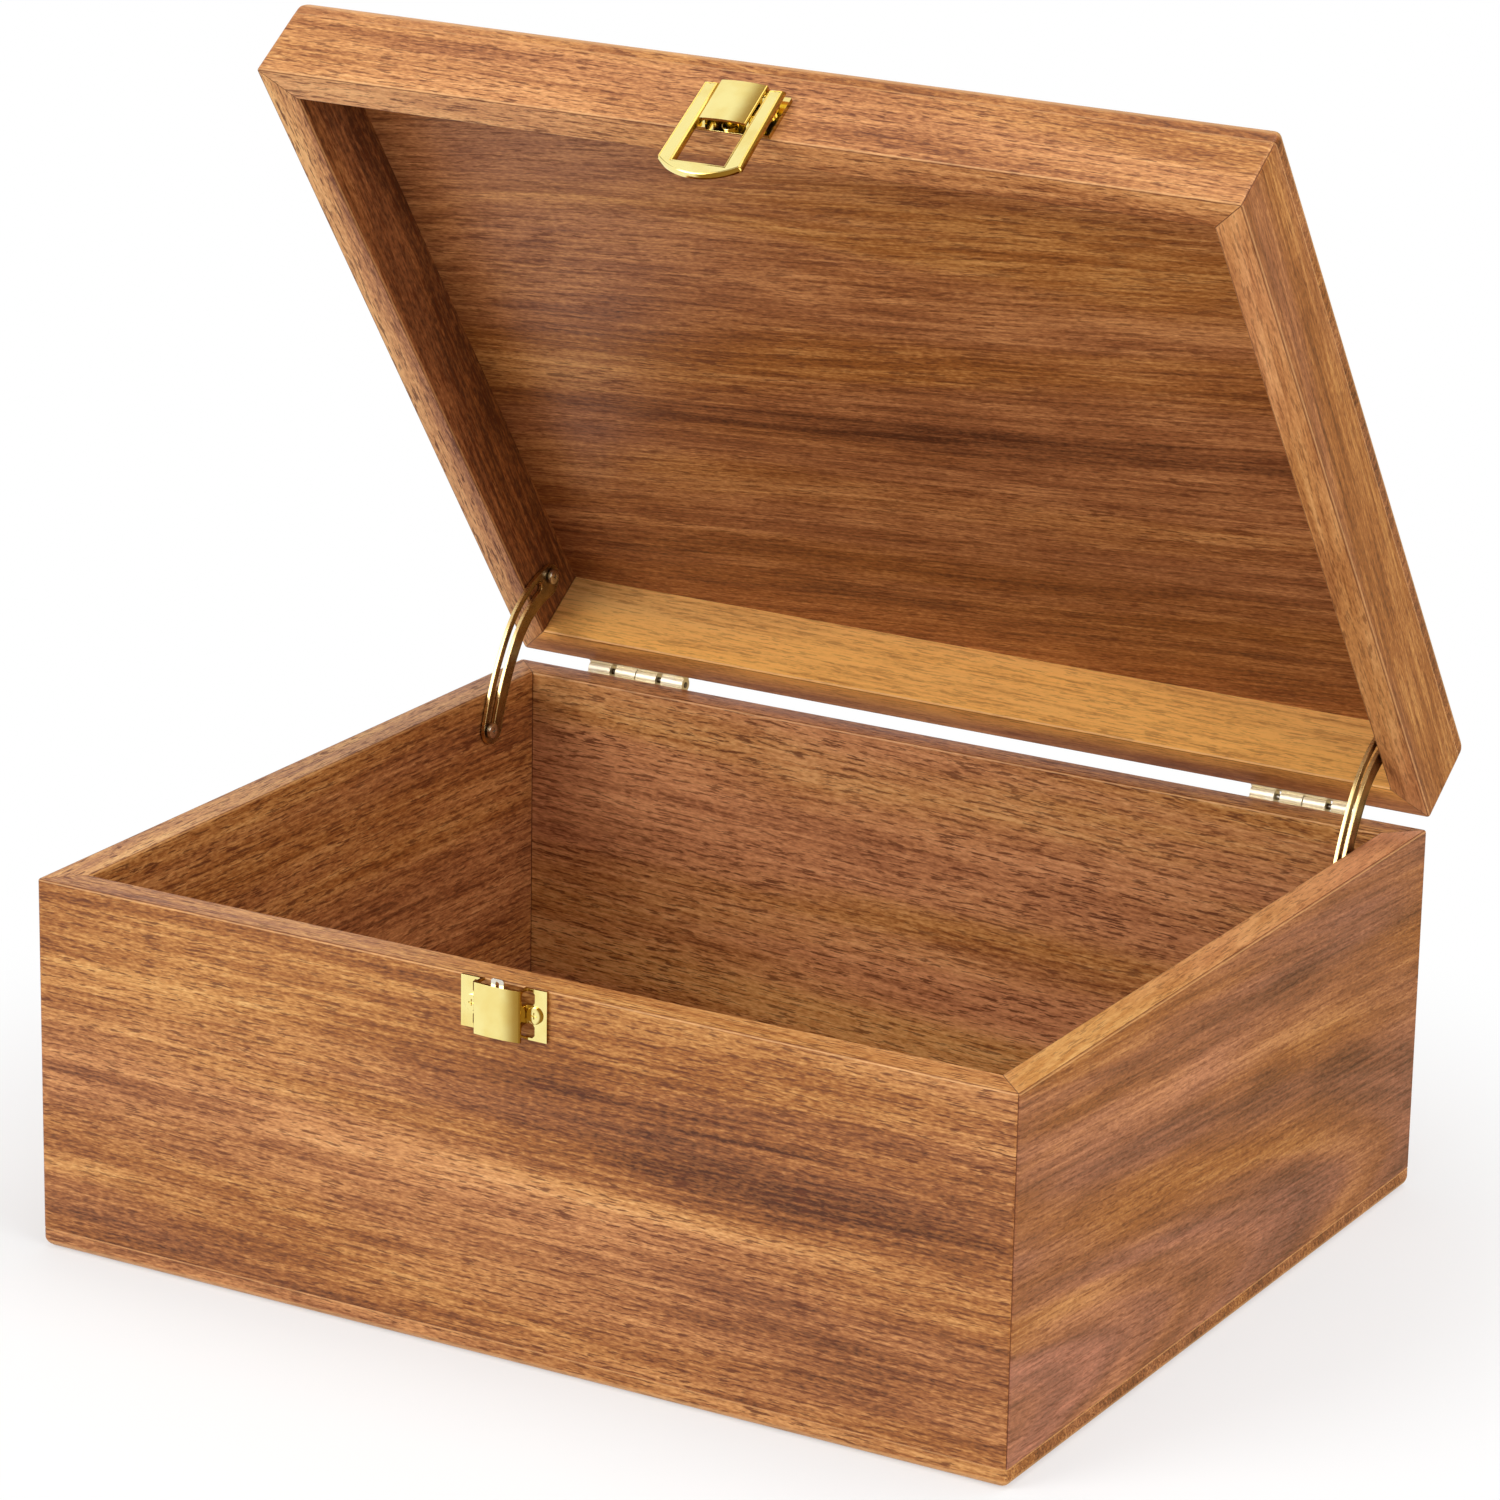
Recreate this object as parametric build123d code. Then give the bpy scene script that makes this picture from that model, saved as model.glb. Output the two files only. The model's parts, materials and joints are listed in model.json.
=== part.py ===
from build123d import *
import math
import os

# A hinged wooden keepsake box, drawn with its lid held open by its two stays.
# X runs along the front, Y towards the hinges and Z up. The origin is the
# middle of the face that the box stands on. All sizes are in millimetres.

# Wooden box
box_width = 320.0
box_depth = 262.5
base_height = 114.1
lid_height = 30.3
wall_thickness = 11.0
bottom_board_thickness = 5.9
top_board_thickness = 6.6
rim_gap = 0.2
corner_bevel = 0.9
rim_bevel = 0.5
seam_bevel = 0.25
bottom_edge_radius = 3.0
top_edge_radius = 4.5

# Lid hinges
open_angle = 55.0
hinge_axis_behind = 3.6
hinge_from_side = 42.0
hinge_leaf_height = 13.0
hinge_leaf_thickness = 1.1
hinge_leaf_clearance = 0.4
hinge_leaf_corner = 1.5
hinge_web_height = 4.2
knuckle_radius = 2.4
outer_knuckle_length = 8.0
inner_knuckle_length = 7.4
outer_knuckle_gap = 2.0
inner_knuckle_gap = 0.3
hinge_pin_radius = 0.95
hinge_pin_overhang = 0.25
hinge_screw_drop = 7.8
hinge_screw_inset = 7.0

# Wood screws with low round heads
screw_shank_radius = 1.2
screw_length = 8.0
hinge_screw_head_radius = 2.2
latch_screw_head_radius = 2.5
screw_head_height = 1.1
shank_sides = 8
tip_length = 2.5
tip_share = 0.75

# Latch and catch: one stamped sheet shape, used on the base and on the lid
sheet_thickness = 0.9
plate_width = 28.0
plate_height = 15.1
plate_from_rim = 0.1
bow_width = 15.2
bow_flank_height = 4.7
bow_bulge = 0.5
bow_lip = 1.7
fold_radius = 0.5
window_height = 4.15
window_strip = 0.7
window_reach = 2.5
window_corner = 0.8
plate_screw_from_end = 3.8
backing_thickness = 0.5
nail_radius = 1.0
nail_head_radius = 2.3
nail_head_height = 0.8
nail_length = 7.0
nail_height = 2.6

# Spring tongue behind the catch
tongue_width = 4.1
tongue_thickness = 0.5
tongue_rise = 2.0
tongue_length = 14.2
tongue_slot_width = 1.2
tongue_slot_length = 6.0
tongue_slot_margin = 0.8
tongue_corner = 0.8

# Swinging latch loop
loop_bar_radius = 0.9
loop_bar_to_window = 1.1
loop_thickness = 1.8
loop_back_behind_bar = 0.3
loop_side_clearance = 0.5
loop_catch_clearance = 0.3
loop_top_width = 25.8
loop_bottom_width = 27.4
loop_bottom_depth = 5.0
loop_end_radius = 1.65
loop_bevel = 0.5

# Lid stays: a slotted arm on each side
stay_wall_gap = 0.5
stay_thickness = 1.2
stay_pin_from_back = 39.0
stay_pin_below_rim = 12.0
stay_screw_from_back = 25.0
stay_screw_above_rim = 12.0
stay_turn_ratio = 0.5
stay_slot_width = 3.2
stay_slot_bulge = 0.4
stay_outer_width = 4.1
stay_inner_width = 6.6
stay_end_margin = 4.5
stay_slot_from_screw = 7.5
stay_pin_radius = 1.1
stay_screw_radius = 1.3
stay_head_radius = 2.5
stay_head_height = 1.3
stay_head_gap = 0.2
stay_length_in_wall = 8.0
running_fit = 0.05

# How far a cutter runs past the piece that it cuts
overrun = 1.0

# Places worked out from the sizes above
half_width = box_width / 2
half_depth = box_depth / 2
hinge_x = half_width - hinge_from_side
wall_inner_x = half_width - wall_thickness
lid_rim = base_height + rim_gap
rail_top = lid_rim + lid_height - top_board_thickness
box_top = lid_rim + lid_height
hinge_y = half_depth + hinge_axis_behind
hinge_z = base_height + rim_gap / 2
hinge_axis = Axis((0, hinge_y, hinge_z), (1, 0, 0))
hinge_width = (
    2 * (outer_knuckle_length + inner_knuckle_length + outer_knuckle_gap) + inner_knuckle_gap
)
catch_bottom = base_height - plate_from_rim - plate_height
latch_bottom = lid_rim + plate_from_rim
bow_radius = (bow_width ** 2 / 4 + bow_bulge ** 2) / (2 * bow_bulge)
loop_bar_out = backing_thickness + bow_flank_height - sheet_thickness - loop_bar_to_window
loop_bar_z = latch_bottom + plate_height - window_strip - loop_bar_to_window

# In a plate's own frame X runs along the box, Y up the plate and Z out of the
# wood: the plan is drawn as X and out, the side as out and up.
plan_plane = Plane((0, 0, 0), x_dir=(1, 0, 0), z_dir=(0, -1, 0))
side_plane = Plane((0, 0, 0), x_dir=(0, 0, 1), z_dir=(-1, 0, 0))

# Where the two hinges stand along the box
hinge_places = {"left": -hinge_x, "right": hinge_x}

# Solids that stand on their own plane
STANDING = (Align.CENTER, Align.CENTER, Align.MIN)


def opened(shape):
    """Turn a lid piece from its shut place to its open one."""
    return shape.rotate(hinge_axis, -open_angle)


def on_front(out, height):
    """A plane on the front face: its X along the box, its Z out of the face."""
    return Plane((0, -half_depth - out, height), x_dir=(1, 0, 0), z_dir=(0, -1, 0))


def polygon(*points):
    """A flat face with the given corners."""
    return make_face(Polyline(*points, close=True))


def footprint():
    """The box's outline from above, with its corners eased."""
    outline = Rectangle(box_width, box_depth)
    return chamfer(outline.vertices(), corner_bevel)


def wall_ring(bottom, top, rim_at_top):
    """Four walls as one ring, with an eased rim and a finer bevel at the board's seam."""
    hollow = Rectangle(box_width - 2 * wall_thickness, box_depth - 2 * wall_thickness)
    ring = Pos(0, 0, bottom) * extrude(footprint() - hollow, top - bottom)
    rim, seam = (-1, 0) if rim_at_top else (0, -1)
    ring = chamfer(ring.faces().sort_by(Axis.Z)[rim].edges(), rim_bevel)
    return chamfer(ring.faces().sort_by(Axis.Z)[seam].outer_wire().edges(), seam_bevel)


def mitred_walls(ring, prefix):
    """The ring's four walls, cut apart along the mitres of its corners."""
    reach = wall_thickness + overrun
    out_x, out_y = half_width + overrun, half_depth + overrun
    in_x, in_y = half_width - reach, half_depth - reach
    corners = {
        "front": ((-out_x, -out_y), (out_x, -out_y), (in_x, -in_y), (-in_x, -in_y)),
        "rear": ((-out_x, out_y), (out_x, out_y), (in_x, in_y), (-in_x, in_y)),
        "left": ((-out_x, -out_y), (-out_x, out_y), (-in_x, in_y), (-in_x, -in_y)),
        "right": ((out_x, -out_y), (out_x, out_y), (in_x, in_y), (in_x, -in_y)),
    }
    walls = {}
    for side, points in corners.items():
        wedge = extrude(polygon(*points), box_top)
        walls[prefix.format(side)] = ring & wedge
    return walls


def board(bottom, thickness, edge_radius, rounded_side, seam_side):
    """A flat board over the walls, round along one edge and eased at its seam."""
    slab = extrude(Rectangle(box_width, box_depth), thickness)
    slab = fillet(slab.faces().sort_by(Axis.Z)[rounded_side].edges(), edge_radius)
    slab = chamfer(slab.faces().sort_by(Axis.Z)[seam_side].edges(), seam_bevel)
    return Pos(0, 0, bottom) * (slab & extrude(footprint(), thickness))


def wood_screw(head_radius, head_height, shank_radius, length):
    """A screw along -Z with a point, its low round head standing on Z = 0.

    The threaded shank is drawn as a plain eight-sided one.
    """
    head = Cylinder(head_radius, head_height, align=STANDING)
    shank = extrude(RegularPolygon(shank_radius, shank_sides), -length)
    end = shank.faces().sort_by(Axis.Z)[0]
    return head + chamfer(end.edges(), shank_radius * tip_share, tip_length, reference=end)


def hinge_knuckles(first):
    """Starts and lengths of a leaf's knuckles; first is 0 for the base, 1 for the lid."""
    lengths = (outer_knuckle_length, inner_knuckle_length, inner_knuckle_length, outer_knuckle_length)
    gaps = (outer_knuckle_gap, inner_knuckle_gap, outer_knuckle_gap, 0.0)
    starts = []
    x = 0.0
    for length, gap in zip(lengths, gaps):
        starts.append((x, length))
        x += length + gap
    return starts[first::2]


def hinge_leaf(centre_x, first):
    """A leaf with its rolled knuckles, drawn downwards from the hinge line."""
    left = centre_x - hinge_width / 2
    section = Plane.YZ.offset(left)
    inner_y = half_depth
    sheet = polygon(
        (inner_y, hinge_z - hinge_leaf_height),
        (inner_y + hinge_leaf_thickness, hinge_z - hinge_leaf_height),
        (inner_y + hinge_leaf_thickness, hinge_z - hinge_leaf_clearance),
        (inner_y, hinge_z - hinge_leaf_clearance),
    )
    leaf = extrude(section * sheet, hinge_width)
    lower = leaf.edges().filter_by(Axis.Y).group_by(Axis.Z)[0]
    leaf = fillet(lower, hinge_leaf_corner)
    web = polygon(
        (inner_y + hinge_leaf_thickness / 2, hinge_z - hinge_leaf_clearance),
        (inner_y + hinge_leaf_thickness / 2, hinge_z - hinge_web_height),
        (inner_y + hinge_leaf_thickness, hinge_z - hinge_web_height),
        (hinge_y, hinge_z - knuckle_radius),
        (hinge_y, hinge_z - hinge_leaf_clearance),
    )
    barrel = Pos(hinge_y, hinge_z) * Circle(knuckle_radius)
    bore = Pos(hinge_y, hinge_z) * Circle(hinge_pin_radius + running_fit)
    for start, length in hinge_knuckles(first):
        leaf += extrude(section.offset(start) * (web + barrel), length)
    leaf -= extrude(section * bore, hinge_width)
    return leaf


def turned_over(shape):
    """Turn a hinge leaf upwards, about the line that the hinge turns on."""
    return shape.mirror(Plane((0, 0, hinge_z), z_dir=(0, 0, 1)))


def hinge_pin(centre_x):
    """The pin through the four knuckles of a hinge."""
    pin = Cylinder(hinge_pin_radius, hinge_width + 2 * hinge_pin_overhang)
    return Plane((centre_x, hinge_y, hinge_z), z_dir=(1, 0, 0)) * pin


def hinge_screws(direction):
    """Four screws at the rear, two a hinge, with direction -1 below the line and +1 above."""
    screw = wood_screw(
        hinge_screw_head_radius, screw_head_height, screw_shank_radius, screw_length
    )
    screws = []
    for hinge in (-1, 1):
        for side in (-1, 1):
            x = hinge * hinge_x + side * (hinge_width / 2 - hinge_screw_inset)
            y = half_depth + hinge_leaf_thickness
            z = hinge_z + direction * hinge_screw_drop
            screws.append(Plane((x, y, z), z_dir=(0, 1, 0)) * screw)
    return screws


def bow_outline(inset):
    """The bow's outline seen from above, with its convex front, a sheet in or not."""
    half = bow_width / 2 - inset
    radius = bow_radius - inset
    centre = bow_flank_height + bow_bulge - bow_radius
    reach = math.sqrt(radius ** 2 - half ** 2) + centre
    front = ThreePointArc((-half, reach), (0, centre + radius), (half, reach))
    sides = Polyline((half, reach), (half, 0), (-half, 0), (-half, reach))
    return make_face(front + sides)


def window_cutters(low, high, slope):
    """Cutters for a pair of windows that run from each flank of the bow into its ear."""
    depth = bow_flank_height - sheet_thickness
    flank = polygon(
        (-overrun, low),
        (sheet_thickness if slope else depth - window_corner, low),
        (depth, low + (bow_lip if slope else window_corner)),
        (depth, high - window_corner),
        (depth - window_corner, high),
        (-overrun, high),
    )
    reach = bow_width / 2 + window_reach
    ear = polygon(
        (window_corner - reach, low),
        (reach - window_corner, low),
        (reach, low + window_corner),
        (reach, high - window_corner),
        (reach - window_corner, high),
        (window_corner - reach, high),
        (-reach, high - window_corner),
        (-reach, low + window_corner),
    )
    flank_cut = extrude(side_plane * flank, bow_width / 2 + fold_radius, both=True)
    ear_cut = Pos(0, 0, -overrun) * extrude(ear, overrun + 2 * sheet_thickness)
    return flank_cut + ear_cut


def bowed_plate():
    """The stamped plate: two flat ears and a bow, with windows at the bow's foot."""
    ears = Rectangle(plate_width, sheet_thickness, align=(Align.CENTER, Align.MIN))
    section = ears + bow_outline(0)
    section = fillet(
        [v for v in section.vertices() if abs(abs(v.X) - bow_width / 2) < 0.01 and v.Y > 0.01],
        fold_radius,
    )
    section -= bow_outline(sheet_thickness)
    plate = extrude(plan_plane * section, -plate_height)
    low_window = window_strip + window_height
    plate -= window_cutters(window_strip, low_window, slope=True)
    plate -= window_cutters(plate_height - low_window, plate_height - window_strip, slope=False)
    inside = bow_flank_height - sheet_thickness
    notch = polygon(
        (sheet_thickness, -overrun),
        (inside, -overrun),
        (inside, bow_lip),
        (sheet_thickness, 0),
    )
    return plate - extrude(side_plane * notch, bow_width, both=True)


def plate_screws(out):
    """The two screws through a plate's ears, whose front stands out from the wood."""
    screw = wood_screw(
        latch_screw_head_radius, screw_head_height, screw_shank_radius, screw_length
    )
    screw_x = plate_width / 2 - plate_screw_from_end
    return [Pos(side * screw_x, plate_height / 2, out) * screw for side in (-1, 1)]


def backing_plate():
    """The flat plate between the lid and the latch's stamped plate."""
    outline = Rectangle(plate_width, plate_height, align=(Align.CENTER, Align.MIN))
    return extrude(outline, backing_thickness)


def centre_nail():
    """The low-headed nail through the middle of the backing plate."""
    nail = wood_screw(nail_head_radius, nail_head_height, nail_radius, nail_length)
    return Pos(0, nail_height, backing_thickness) * nail


def spring_tongue():
    """The slotted spring strip that lies on the bow's inner face and stands above the rim."""
    radius = bow_radius - sheet_thickness
    centre = bow_flank_height + bow_bulge - bow_radius
    band = Pos(0, centre) * (Circle(radius) - Circle(radius - tongue_thickness))
    section = band & (Pos(0, bow_flank_height) * Rectangle(tongue_width, bow_flank_height))
    strip = extrude(plan_plane * section, -tongue_length)
    strip = fillet(strip.edges().filter_by(Axis.Z).group_by(Axis.Y)[-1], tongue_corner)
    slot_middle = tongue_length - tongue_slot_margin - tongue_slot_length / 2
    slot = Rot(0, 0, 90) * SlotOverall(tongue_slot_length, tongue_slot_width)
    strip -= extrude(Pos(0, slot_middle) * slot, bow_flank_height + bow_bulge)
    tongue_top = plate_height + plate_from_rim + tongue_rise
    return Pos(0, tongue_top - tongue_length, 0) * strip


def latch_loop():
    """The swinging frame with its round bar, drawn with the bar on the origin."""
    window_half = bow_width / 2 + loop_side_clearance
    window_bottom = -(loop_bar_z - catch_bottom + loop_catch_clearance)
    top = loop_end_radius
    sides = Polyline(
        (-loop_bottom_width / 2, window_bottom),
        (-loop_top_width / 2, top),
        (loop_top_width / 2, top),
        (loop_bottom_width / 2, window_bottom),
    )
    bottom = ThreePointArc(
        (loop_bottom_width / 2, window_bottom),
        (0, window_bottom - loop_bottom_depth),
        (-loop_bottom_width / 2, window_bottom),
    )
    outline = make_face(sides + bottom)
    window = Pos(0, window_bottom) * Rectangle(
        2 * window_half, top - window_bottom + overrun, align=(Align.CENTER, Align.MIN)
    )
    back, front = -loop_back_behind_bar, loop_thickness - loop_back_behind_bar
    frame = Pos(0, 0, back) * extrude(outline - window, loop_thickness)
    height = loop_bottom_depth - window_bottom
    below = Pos(back, 0) * Rectangle(loop_thickness, height, align=(Align.MIN, Align.MAX))
    above = Pos(back, 0) * Rectangle(loop_thickness, height, align=(Align.MIN, Align.MIN))
    side_view = below + (above & Circle(loop_end_radius))
    frame &= extrude(side_plane * side_view, loop_bottom_width, both=True)
    front_face = frame.faces().filter_by(Axis.Z).sort_by(Axis.Z)[-1]
    bevelled = [e for e in front_face.edges() if e.center().Y < -loop_end_radius]
    frame = chamfer(bevelled, loop_bevel)
    bar = Rot(0, 90, 0) * Cylinder(loop_bar_radius, 2 * window_half + loop_thickness)
    return frame + bar


# The stays are worked out in the side view, as points (Y, Z).
hinge_point = Vector(hinge_y, hinge_z)
pin_point = Vector(half_depth - stay_pin_from_back, base_height - stay_pin_below_rim)
screw_shut = Vector(half_depth - stay_screw_from_back, lid_rim + stay_screw_above_rim)
screw_open = hinge_point + (screw_shut - hinge_point).rotate(Axis.Z, -open_angle)
stay_reach = stay_wall_gap + stay_thickness + stay_head_gap


def pin_in_slot(closing):
    """Where the base's pin lies in the open arm once the lid has shut by an angle.

    The arm turns back on its screw by a fixed share of the lid's own turn.
    """
    screw = hinge_point + (screw_open - hinge_point).rotate(Axis.Z, closing)
    turn = closing * (1 - stay_turn_ratio)
    return screw_open + (pin_point - screw).rotate(Axis.Z, -turn)


def beside(arc, distance):
    """The arc moved away from its own centre by a distance."""
    points = []
    for share in (0, 0.5, 1):
        point = arc @ share
        points.append(point + (point - arc.arc_center).normalized() * distance)
    return ThreePointArc(*points)


def strip_face(lower, upper, outer, inner, reach):
    """A strip along two tangent arcs, with round ends that reach past them."""
    outer_edges = beside(lower, outer), beside(upper, outer)
    inner_edges = beside(lower, -inner), beside(upper, -inner)
    low_middle = (outer_edges[0] @ 0 + inner_edges[0] @ 0) / 2
    high_middle = (outer_edges[1] @ 1 + inner_edges[1] @ 1) / 2
    low_end = ThreePointArc(inner_edges[0] @ 0, low_middle - (lower % 0) * reach, outer_edges[0] @ 0)
    high_end = ThreePointArc(outer_edges[1] @ 1, high_middle + (upper % 1) * reach, inner_edges[1] @ 1)
    return make_face([*outer_edges, high_end, *inner_edges, low_end])


def stay_arm():
    """The left stay: a curved flat arm with a long slot that rides on the base's pin."""
    low_end, middle, high_end = (pin_in_slot(open_angle * share) for share in (0, 0.5, 1))
    outward = (high_end - low_end).normalized().rotate(Axis.Z, 90) * stay_slot_bulge
    lower = ThreePointArc(low_end - outward, middle + outward, high_end - outward)
    upper = TangentArc(lower @ 1, screw_open, tangent=lower % 1)
    arm = strip_face(lower, upper, stay_outer_width, stay_inner_width, stay_end_margin)
    share = 1 - stay_slot_from_screw / upper.length
    slotted = ThreePointArc(upper @ 0, upper @ (share / 2), upper @ share)
    half_slot = stay_slot_width / 2
    arm -= strip_face(lower, slotted, half_slot, half_slot, half_slot)
    arm -= Pos(screw_open) * Circle(stay_screw_radius + running_fit)
    return extrude(Plane.YZ.offset(stay_wall_gap - wall_inner_x) * arm, stay_thickness)


def stay_fastener(shank_radius, place):
    """A headed pin in the left wall, round where the arm turns or slides on it."""
    head = Cylinder(stay_head_radius, stay_head_height, align=STANDING)
    shank = Pos(0, 0, -stay_reach) * Cylinder(shank_radius, stay_reach, align=STANDING)
    root = extrude(RegularPolygon(shank_radius, shank_sides), -stay_length_in_wall)
    fastener = head + shank + Pos(0, 0, -stay_reach) * root
    return Plane((stay_reach - wall_inner_x, place.X, place.Y), z_dir=(1, 0, 0)) * fastener


def mirrored(shape):
    """The same piece on the other side of the box."""
    return mirror(shape, about=Plane.YZ)


def base_pieces():
    """Everything that stays with the base."""
    pieces = mitred_walls(wall_ring(bottom_board_thickness, base_height, True), "base_{}_wall")
    pieces["base_bottom_board"] = board(0, bottom_board_thickness, bottom_edge_radius, 0, -1)
    on_catch = on_front(0, catch_bottom)
    catch_screws = [on_catch * screw for screw in plate_screws(sheet_thickness)]
    catch_plate = on_catch * bowed_plate()
    pieces["catch_spring"] = on_catch * spring_tongue()
    for screw in catch_screws:
        catch_plate -= screw
        pieces["base_front_wall"] -= screw
    pieces["catch_plate"] = catch_plate
    pieces["catch_screws"] = Compound(catch_screws)
    rear_screws = hinge_screws(-1)
    for side, x in hinge_places.items():
        leaf = hinge_leaf(x, 0)
        for screw in rear_screws:
            leaf -= screw
        pieces[f"hinge_base_leaf_{side}"] = leaf
        pieces[f"hinge_pin_{side}"] = hinge_pin(x)
    for screw in rear_screws:
        pieces["base_rear_wall"] -= screw
    pieces["hinge_base_screws"] = Compound(rear_screws)
    pin = stay_fastener(stay_pin_radius, pin_point)
    pieces["stay_pin_left"] = pin
    pieces["stay_pin_right"] = mirrored(pin)
    pieces["base_left_wall"] -= pin
    pieces["base_right_wall"] -= mirrored(pin)
    return pieces


def lid_pieces():
    """Everything that turns with the lid, in its shut place."""
    pieces = mitred_walls(wall_ring(lid_rim, rail_top, False), "lid_{}_rail")
    pieces["lid_top_board"] = board(rail_top, top_board_thickness, top_edge_radius, -1, 0)
    on_latch = on_front(0, latch_bottom)
    ear_out = backing_thickness + sheet_thickness
    latch_screws = [on_latch * screw for screw in plate_screws(ear_out)]
    latch_plate = on_front(backing_thickness, latch_bottom) * bowed_plate()
    backing = on_latch * backing_plate()
    nail = on_latch * centre_nail()
    for screw in latch_screws:
        latch_plate -= screw
    for fastener in [*latch_screws, nail]:
        backing -= fastener
        pieces["lid_front_rail"] -= fastener
    pieces["latch_plate"] = latch_plate
    pieces["latch_backing"] = backing
    pieces["latch_nail"] = nail
    pieces["latch_screws"] = Compound(latch_screws)
    rear_screws = hinge_screws(1)
    for side, x in hinge_places.items():
        leaf = turned_over(hinge_leaf(x, 1))
        for screw in rear_screws:
            leaf -= screw
        pieces[f"hinge_lid_leaf_{side}"] = leaf
    for screw in rear_screws:
        pieces["lid_rear_rail"] -= screw
    pieces["hinge_lid_screws"] = Compound(rear_screws)
    screw = stay_fastener(stay_screw_radius, screw_shut)
    pieces["stay_screw_left"] = screw
    pieces["stay_screw_right"] = mirrored(screw)
    pieces["lid_left_rail"] -= screw
    pieces["lid_right_rail"] -= mirrored(screw)
    pieces["latch_loop"] = on_front(loop_bar_out, loop_bar_z) * latch_loop()
    return pieces


def all_pieces():
    """Every piece by name, with the lid open on its stays."""
    pieces = base_pieces()
    for name, piece in lid_pieces().items():
        pieces[name] = opened(piece)
    pieces["stay_arm_left"] = stay_arm()
    pieces["stay_arm_right"] = mirrored(pieces["stay_arm_left"])
    return pieces


os.makedirs("parts", exist_ok=True)
for name, piece in all_pieces().items():
    export_step(piece, f"parts/{name}.step")
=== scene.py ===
import json
import math
from typing import NamedTuple

import bmesh
import bpy
from bpy.props import FloatProperty, FloatVectorProperty, PointerProperty
from mathutils import Matrix, Vector


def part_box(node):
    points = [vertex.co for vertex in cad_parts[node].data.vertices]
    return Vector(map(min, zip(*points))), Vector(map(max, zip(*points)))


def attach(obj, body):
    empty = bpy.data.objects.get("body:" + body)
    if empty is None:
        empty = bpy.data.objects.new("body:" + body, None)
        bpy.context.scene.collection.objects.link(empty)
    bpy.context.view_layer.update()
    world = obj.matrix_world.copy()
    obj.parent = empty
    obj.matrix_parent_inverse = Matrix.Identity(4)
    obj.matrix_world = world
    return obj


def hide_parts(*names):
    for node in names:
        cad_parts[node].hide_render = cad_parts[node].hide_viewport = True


bl_info = {
    "name": "Keepsake Box",
    "version": (1, 0, 0),
    "blender": (4, 5, 0),
    "location": "3D Viewport > Sidebar > Keepsake",
    "description": "Builds a hinged acacia keepsake box with gold hardware on its measured frame",
    "category": "Add Mesh",
}

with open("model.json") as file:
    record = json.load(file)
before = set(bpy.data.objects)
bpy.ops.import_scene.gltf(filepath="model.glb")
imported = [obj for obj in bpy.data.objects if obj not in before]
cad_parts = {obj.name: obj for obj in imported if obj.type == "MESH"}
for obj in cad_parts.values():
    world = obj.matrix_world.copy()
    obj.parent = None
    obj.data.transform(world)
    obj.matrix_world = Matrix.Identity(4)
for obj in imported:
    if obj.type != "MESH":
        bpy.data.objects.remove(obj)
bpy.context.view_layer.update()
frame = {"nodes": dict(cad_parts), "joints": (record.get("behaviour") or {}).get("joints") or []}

MM = 0.001
WHITE = (1.0, 1.0, 1.0, 1.0)
lid_joint = next(joint for joint in frame["joints"] if joint["name"] == "lid_hinge")
hinge_point = Vector(lid_joint["pos_m"])
open_angle = math.radians(-lid_joint["range_deg"][0])
front_low, front_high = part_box("base_front_wall")
half_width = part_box("base_right_wall")[1].x
half_depth = -front_low.y
walls_bottom, walls_top = front_low.z, front_high.z

# How close two points, two measures or two directions have to be to count as one
SAME_POINT = 0.002 * MM
SAME_PLACE = 0.01 * MM
SAME_WAY = 0.999


def length(name, description, millimetres):
    """A size that the sidebar shows as a length."""
    return FloatProperty(
        name=name, description=description, default=millimetres * MM, min=0.0, precision=5,
        subtype="DISTANCE", unit="LENGTH",
    )


def colour(name, description, red, green, blue):
    """A colour that the sidebar shows as a swatch, given in the usual 0 to 255 screen values."""
    shade = (*(linear(value) for value in (red, green, blue)), 1.0)
    return FloatVectorProperty(
        name=name, description=description, default=shade, size=4, min=0.0, max=1.0,
        subtype="COLOR",
    )


def power(name, description, watts):
    """The power of a lamp."""
    return FloatProperty(name=name, description=description, default=watts, min=0.0, unit="POWER")


def linear(value):
    """A screen value from 0 to 255 as linear light."""
    share = value / 255
    return share / 12.92 if share <= 0.04045 else ((share + 0.055) / 1.055) ** 2.4


class BoxSizes(bpy.types.PropertyGroup):
    wall: length("Wall", "Thickness of the walls and rails", 11.0)
    lid_height: length("Lid height", "Height of the lid with its board", 30.3)
    bottom_board: length("Bottom board", "Thickness of the bottom board", 5.9)
    top_board: length("Top board", "Thickness of the lid's board", 6.6)
    rim_gap: length("Rim gap", "Gap between the shut lid and the base", 0.2)
    corner: length("Corner", "Rounding of the upright corners", 1.3)
    rim: length("Rim", "Rounding of the edges of the rims", 0.7)
    seam: length("Seam", "Rounding where a board meets the walls", 0.25)
    mitre: length("Mitre", "Fine groove along the mitred corners", 0.14)
    bottom_edge: length("Bottom edge", "Rounding under the box", 3.0)
    top_edge: length("Top edge", "Rounding around the lid's top", 4.5)


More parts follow.
